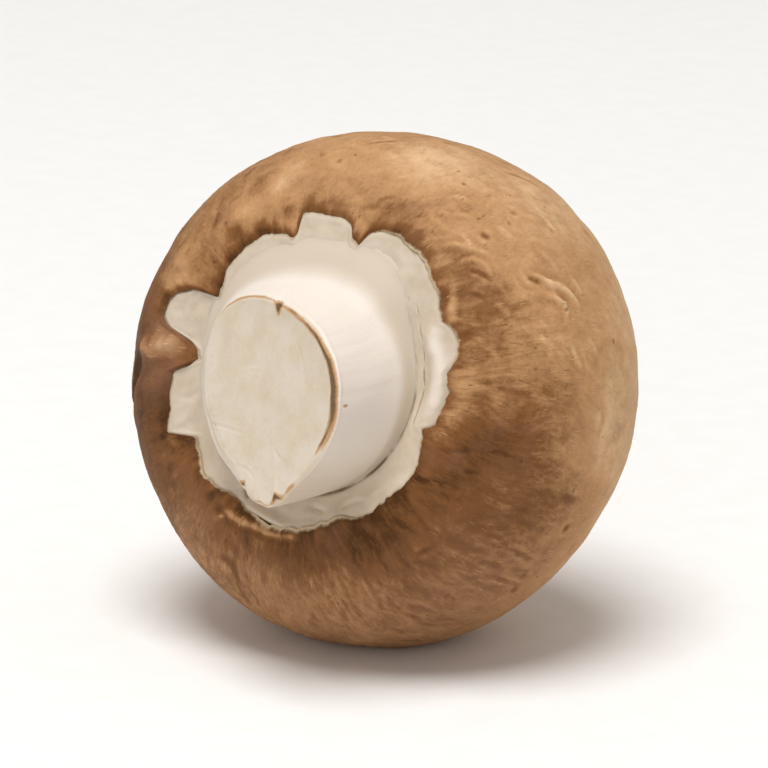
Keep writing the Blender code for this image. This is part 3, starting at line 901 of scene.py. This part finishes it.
# The outline of the cut, as angle and distance about its middle
cutRim = (
    (7, 9.3), (20, 9.2), (39, 8.8), (57, 8.6), (76, 8.6), (97, 9.2), (112, 10.2), (127, 11.2),
    (136, 11.7), (147, 11.8), (156, 11.5), (167, 11), (179, 10.5), (188, 10), (200, 9.5), (214, 9),
    (227, 8.6), (240, 8.4), (252, 8.6), (261, 9.1), (270, 9.6), (277, 9.9), (286, 10.1), (292, 9.8),
    (301, 9.2), (314, 9), (325, 9.1), (338, 9.2), (352, 9.3),
)

# Cracks and marks of the cut face: place across and down in mm, then as above
cutStrokes = (
    (-5.6, 3.4, 86, 5.4, 0.1, 0.14, -0.05, 0.07),
    (0.8, -0.3, 12, 3, 0.1, 0.12, -0.06, 0.08),
    (3, -4.2, 30, 3.6, 0.3, 0.14, -0.05, 0.06),
    (-3.6, -2.4, 100, 3, 0.2, 0.16, 0.05, 0),
    (2.4, 4.8, 60, 2.6, -0.2, 0.15, -0.05, 0.05),
    (-1.6, 7, 70, 2.2, 0.2, 0.14, -0.06, 0.05),
)

# Browning of the cut's rim: angle and half width in degrees, distance from the rim and width in
# mm, amount
rimBrowning = (
    (352, 18, 0.25, 0.5, 0.62), (12, 18, 0.3, 0.5, 0.62), (34, 18, 0.22, 0.34, 0.55),
    (14, 20, 0.78, 0.16, 0.62), (40, 22, 0.52, 0.18, 0.8), (62, 16, 0.28, 0.16, 0.75),
    (340, 8, 0.55, 0.22, 0.7), (82, 10, 0.1, 0.16, 0.7), (96, 2.6, 0, 0.62, 1.3),
    (112, 16, 0, 0.16, 0.52), (134, 14, 0, 0.18, 0.42), (290, 4, 0, 0.42, 1.1), (302, 5, 0, 0.26, 0.6),
    (277, 9, 0, 0.2, 0.45), (257, 3.4, 0, 0.34, 0.9),
)


def aboutStem(x, y):
    x, y = x - stem["centre"][0], y - stem["centre"][1]
    return np.degrees(np.arctan2(-y, x)) % fullTurn, np.hypot(x, y)


def roundStem(angle, places):
    return sum(amount * bump(apart(angle, at), wide) for at, wide, amount in places)


def veilHeight(x, y):
    # it follows the cap's profile a little below the skin, and sinks or flares up to the stem
    r = np.hypot(x, y)
    skin = np.interp(r, lineR[under][::-1], lineZ[under][::-1])
    angle, away = aboutStem(x, y)
    flare = roundStem(angle, veil["flare"]) * bump(np.maximum(away - stem["baseRadius"], 0.0), 2.4)
    return skin + veil["sink"] + veil["funnel"] * ramp(r, 15.5, 10.6) - flare


def stemSpread(angle):
    return 0.05 + roundStem(angle, stem["spread"])


def veilPiece(material):
    columns = veil["columns"]
    angles = columnAngles(columns)
    edge = edgeRadius(angles)
    outer = ringPoint(edge + veil["tuck"], angles, 0.0)
    stemAngle = aboutStem(outer[:, 0], outer[:, 1])[0]
    reach = stem["baseRadius"] + 0.6 * stemSpread(stemAngle) - veil["grownOn"]
    inner = ringPoint(reach, stemAngle, 0.0)
    inner[:, :2] += stem["centre"]

    share = np.linspace(0.0, 1.0, veil["faceRows"])[:, None]
    flat = outer + (inner - outer) * share[..., None]
    level = veilHeight(flat[..., 0], flat[..., 1])
    stemAngles, away = aboutStem(flat[..., 0], flat[..., 1])
    lumpSize, lumpHigh = veil["lumps"]
    foldSize, foldHigh = veil["folds"]
    toStem = np.linalg.norm(flat - inner, axis=-1)
    lumps = lumpHigh * cloud(flat, lumpSize, 3, seed=14) + foldHigh * cloud(flat, foldSize, 2, seed=15)
    level -= lumps * ramp(toStem, 0.3, 1.8)
    fromSkin = edge - np.hypot(flat[..., 0], flat[..., 1])
    borderAt, borderWide, borderHigh = veil["border"]
    level -= borderHigh * bump(fromSkin - borderAt, borderWide)
    crackAt, crackWide, crackDeep = veil["creviceShape"]
    lipAt, lipWide, lipHigh = veil["creviceLip"]
    gap = roundStem(stemAngle, veil["crevice"]) * (1.0 + cloud(inner, 1.3, 3, seed=13))
    gap = np.clip(gap, 0.0, 1.2)
    crack = gap * bump(toStem - crackAt, crackWide)
    level += crackDeep * crack - lipHigh * gap * bump(toStem - lipAt, lipWide)

    def offsets(at, there):
        return np.radians(apart(stemAngles, at)) * away, away - there

    relief, stainAndShading = strokes(offsets, veilStrokes)
    level -= relief
    stainAndShading = stainAndShading + veil["browned"][1] * bump(fromSkin, veil["browned"][0])
    # painted shade in the crevice beside the stem
    stainAndShading += 0.62 * crack
    top = flat.copy()
    top[..., 2] = level
    back = top[[-1, 0]].copy()
    back[..., 2] = level.max() + veil["thickness"]
    grid = np.concatenate([top, back])
    grain = grainAt(stemAngles, away)
    fields = {
        "grain": np.concatenate([grain, grain[[-1, 0]]]),
        "browningAndShading": np.concatenate([stainAndShading, 0.0 * stainAndShading[:2]]),
    }
    return gridPiece("veilSheet", grid, fields, material, closedBy="rows")


# The stem

def cutOutline(angles, middle, tilt):
    # the rim of the slanted cut
    rimAngles, rimRadii = zip(*cutRim)
    ragSize, ragHigh = stem["rag"]
    reach = np.interp(angles, rimAngles, rimRadii, period=fullTurn)
    reach += ragHigh * cloud(ringPoint(9.0, angles, 0.0), ragSize, 3, seed=16)
    rim = middle + ringPoint(reach, angles, 0.0)
    rim[:, 2] = middle[2] - math.tan(tilt) * (rim[:, 0] - middle[0])
    return rim


def stemSide(angles, foot, rim, spread):
    # the smooth side, from its fillet on the veil to the rim, with how far each point is below
    # the veil and from the rim
    level = veilHeight(foot[:, 0], foot[:, 1]) + 0.03
    length = level - rim[:, 2]
    turned = np.radians(np.linspace(0.0, 90.0, stem["filletRows"]))[:, None]
    steps = np.linspace(0.0, 1.0, stem["sideRows"] + 1)[1:, None]
    sideBelow = spread + (length - spread) * (1.0 - (1.0 - steps) ** 1.15)
    below = np.concatenate([spread * (1.0 - np.cos(turned)), sideBelow])
    outward = np.concatenate([spread * (1.0 - np.sin(turned)), 0.0 * sideBelow])
    share = below / length
    quick = (1.0 - np.exp(-5.0 * share)) / (1.0 - math.exp(-5.0))
    drawn = (1.0 - stem["waist"]) * share + stem["waist"] * quick
    side = foot + (rim - foot) * drawn[..., None]
    side += ringPoint(1.0, angles, 0.0) * outward[..., None]
    onVeil = veilHeight(side[..., 0], side[..., 1]) + 0.03
    onVeil[stem["filletRows"]:] = level
    side[..., 2] = onVeil - below
    return side, below, length - below


def sideSwell(angle, side, below, toRim, leftSide):
    # flutes and lumps of the side, and the rounded and nicked rim
    silk = cloud(grainAt(angle, below) / np.array([1.6, 1.6, 14.0]), 1.0, 3, seed=17)
    swell = stem["fluting"] * silk + stem["lumps"] * cloud(side, 5.0, 2, seed=18)
    swell = swell * ramp(below, 0.0, 2.0)
    swell += 0.09 * bump(toRim - 0.3, 0.3) * (1.0 - leftSide) - 0.14 * bump(toRim, 0.12)
    swell -= stem["leftRim"][2] * leftSide * bump(toRim, stem["leftRim"][3])
    for at, deep, size in stem["nicks"]:
        swell -= deep * bump(np.hypot(apart(angle, at) * 0.16, toRim), size)
    return swell


def stemRoot(foot, brim, angles):
    # the rows inside the cap, up to the edge of the fillet
    root = brim - ringPoint(0.08, angles, 0.0)
    rows = [0.0 * root + [*stem["centre"], stem["rootTop"]], root * 0.8, root.copy(), root.copy()]
    rows[1][:, 2] = stem["rootTop"]
    rows[2][:, 2] = stem["rootTop"] - 2.0
    rows[3][:, 2] = foot[:, 2] + 0.35
    return rows


def cutEnd(edge, middle, leftSide, cutNormal):
    # the cut face from its rim to its middle, with the distance from the rim and the cracks
    hub = edge.mean(axis=0)
    inwards = (1.0 - np.linspace(0.0, 1.0, stem["cutRows"] + 1)[1:] ** 1.35)[:, None, None]
    face = hub + (edge - hub) * inwards
    fromRim = np.linalg.norm(face - edge, axis=-1)

    def offsets(x, y):
        return face[..., 0] - middle[0] - x, face[..., 1] - middle[1] - y

    relief, cracks = strokes(offsets, cutStrokes)
    rollAt, rollWide, rollHigh = stem["rimRoll"]
    dishFrom, dishTo, dishDeep = stem["dishing"]
    left = leftSide * ramp(inwards[..., 0], 0.0, 0.8)
    up = rollHigh * bump(fromRim - rollAt, rollWide) * (1.0 - left)
    up += relief - dishDeep * ramp(fromRim, dishFrom, dishTo)
    up += left * (0.34 * ramp(fromRim, 0.0, 0.9) - 0.05 * bump(fromRim - 0.95, 0.16))
    up += 0.10 * cloud(face, 4.5, 2, seed=19)
    up += 0.035 * cloud(face / np.array([1.0, 2.8, 1.0]), 1.0, 3, seed=20)
    return face + cutNormal * (up * ramp(fromRim, 0.0, 0.12))[..., None], fromRim, cracks


def browned(angle, away):
    return sum(
        amount * bump(apart(angle, at), half) * bump(away - inset, wide)
        for at, half, inset, wide, amount in rimBrowning
    )


def stemPiece(material):
    angles = columnAngles(stem["columns"])
    centre = np.array([*stem["centre"], 0.0])
    spread = stemSpread(angles)
    foot = centre + ringPoint(stem["baseRadius"], angles, 0.0)
    brim = centre + ringPoint(stem["baseRadius"] + spread, angles, 0.0)
    tilt = math.radians(stem["cutTilt"])
    cutNormal = np.array([-math.sin(tilt), 0.0, -math.cos(tilt)])
    veilFace = 0.7 - cap["marginDrop"]
    middle = centre + [0.0, stem["sag"], veilFace - stem["length"]]
    side, below, toRim = stemSide(angles, foot, cutOutline(angles, middle, tilt), spread)
    angle = np.broadcast_to(angles, below.shape)
    leftSide = bump(apart(angles, stem["leftRim"][0]), stem["leftRim"][1])
    side += ringPoint(1.0, angle, 0.0) * sideSwell(angle, side, below, toRim, leftSide)[..., None]
    face, fromRim, cracks = cutEnd(side[-1], middle, leftSide, cutNormal)
    rootRows = stemRoot(side[0], brim, angles)
    grid = np.concatenate([rootRows, side, face])

    speckAt, speckUp = stem["speck"]
    speck = 0.8 * bump(np.hypot(apart(angle, speckAt) * 0.24, (toRim - speckUp) * 0.6), 0.2)
    # the rim's browning, with painted shade in the cut's sunk cracks and in a line inside its rounder left
    # rim
    faceBrowningAndShade = browned(np.broadcast_to(angles, fromRim.shape), fromRim) + cracks
    faceBrowningAndShade += 0.2 * leftSide * bump(fromRim - 0.95, 0.15)
    # near the veil the side takes the veil's tint, and on its underside it is painted greyer, as painted
    # shade
    underShadeAndVeilTint = np.maximum(ramp(below, 2.6, 0.2), 0.90 * bump(apart(angle, 292.0), 54.0))
    sideGrain = grainAt(angle, below)
    inside = np.zeros((len(rootRows), stem["columns"]))
    fields = {
        "grain": np.concatenate([np.repeat(sideGrain[:1], len(rootRows), axis=0), sideGrain, face]),
        "cutFace": np.concatenate([inside, ramp(toRim, 0.18, 0.0), 1.0 + 0.0 * fromRim]),
        "browningAndShading": np.concatenate([inside, browned(angle, -toRim * 2.2) + speck, faceBrowningAndShade]),
        "veilTintAndUnderShade": np.concatenate([1.0 + inside, underShadeAndVeilTint, 0.0 * fromRim]),
    }
    return gridPiece("stemFlesh", grid, fields, material)


capSkin = capPiece(mushroomSkin())
skinFibres = fibrePiece(capSkin, skinFibre())
veilSheet = veilPiece(veilTissue())
stemBody = stemPiece(stemTissue())

for piece, node, slot in (
    (capSkin, "cap", "cap_skin"), (veilSheet, "veil", "veil_flesh"), (stemBody, "stem", "stem_flesh"),
):
    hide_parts(node)
    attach(piece, "root")
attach(skinFibres, "root")
print("cap, veil and stem are in place")


# Floor, light and camera

studio = {
    "floorColour": "#F6F4F1",
    "floorShade": "#F4F2EE",
    "floorSize": 8.0,
    "worldColour": "#FFFFFF",
    "worldStrength": 0.36,
    # soft boxes: name, place, size and watts
    "lights": (
        ("overheadSoftbox", (0.05, -0.30, 1.3), 0.8, 15.0),
        ("frontFill", (0.4, -1.4, 0.5), 0.9, 2.5),
    ),
}

camera = {"azimuth": 32.0, "elevation": 16.0, "distance": 0.5, "frameWidth": 0.074}


def paintedBoard():
    # Matt emulsion paint on board: pale and even, with a faint unevenness from the roller
    material, tree, shader, place = newMaterial("mattPaintedBoard", {
        "Roughness": 0.9, "IOR": 1.5, "Metallic": 0.0, "Specular IOR Level": 0.2,
    })
    roller, = featured(tree, place, (((4.0,) * 3, 3.0, 0.5),))
    colour = painted(tree, linear(studio["floorColour"]), ((roller, 0.3, 0.7, studio["floorShade"], 1.0),))
    tree.links.new(colour, shader.inputs["Base Color"])
    return material


def floorPiece():
    half = studio["floorSize"] / 2
    corners = [(-half, -half, 0), (half, -half, 0), (half, half, 0), (-half, half, 0)]
    mesh = bpy.data.meshes.new("floor")
    mesh.from_pydata(corners, [], [(0, 1, 2, 3)])
    mesh.materials.append(paintedBoard())
    floor = bpy.data.objects.new("floor", mesh)
    bpy.context.scene.collection.objects.link(floor)


def addLights(aim):
    for name, place, size, watts in studio["lights"]:
        data = bpy.data.lights.new(name, "AREA")
        data.shape, data.size, data.energy = "DISK", size, watts
        lamp = bpy.data.objects.new(name, data)
        lamp.location = place
        lamp.rotation_euler = (aim - Vector(place)).to_track_quat("-Z", "Y").to_euler()
        bpy.context.scene.collection.objects.link(lamp)
    world = bpy.data.worlds.new("studioWorld")
    world.use_nodes = True
    shade = world.node_tree.nodes["Background"]
    shade.inputs["Color"].default_value = linear(studio["worldColour"])
    shade.inputs["Strength"].default_value = studio["worldStrength"]
    bpy.context.scene.world = world


def addCamera(aim):
    a, e = math.radians(camera["azimuth"]), math.radians(camera["elevation"])
    back = Vector((math.sin(a) * math.cos(e), -math.cos(a) * math.cos(e), math.sin(e)))
    data = bpy.data.cameras.new("camera")
    data.sensor_width = 36.0
    data.lens = data.sensor_width * camera["distance"] / camera["frameWidth"]
    eye = bpy.data.objects.new("camera", data)
    eye.location = aim + back * camera["distance"]
    eye.rotation_euler = (-back).to_track_quat("-Z", "Y").to_euler()
    bpy.context.scene.collection.objects.link(eye)
    bpy.context.scene.camera = eye


capLow, capHigh = (Vector(corner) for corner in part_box("cap"))
floorPiece()
addLights((capLow + capHigh) / 2)
addCamera((capLow + capHigh) / 2)
bpy.context.scene.view_settings.view_transform = "Standard"
print("floor, lights and camera are in place")
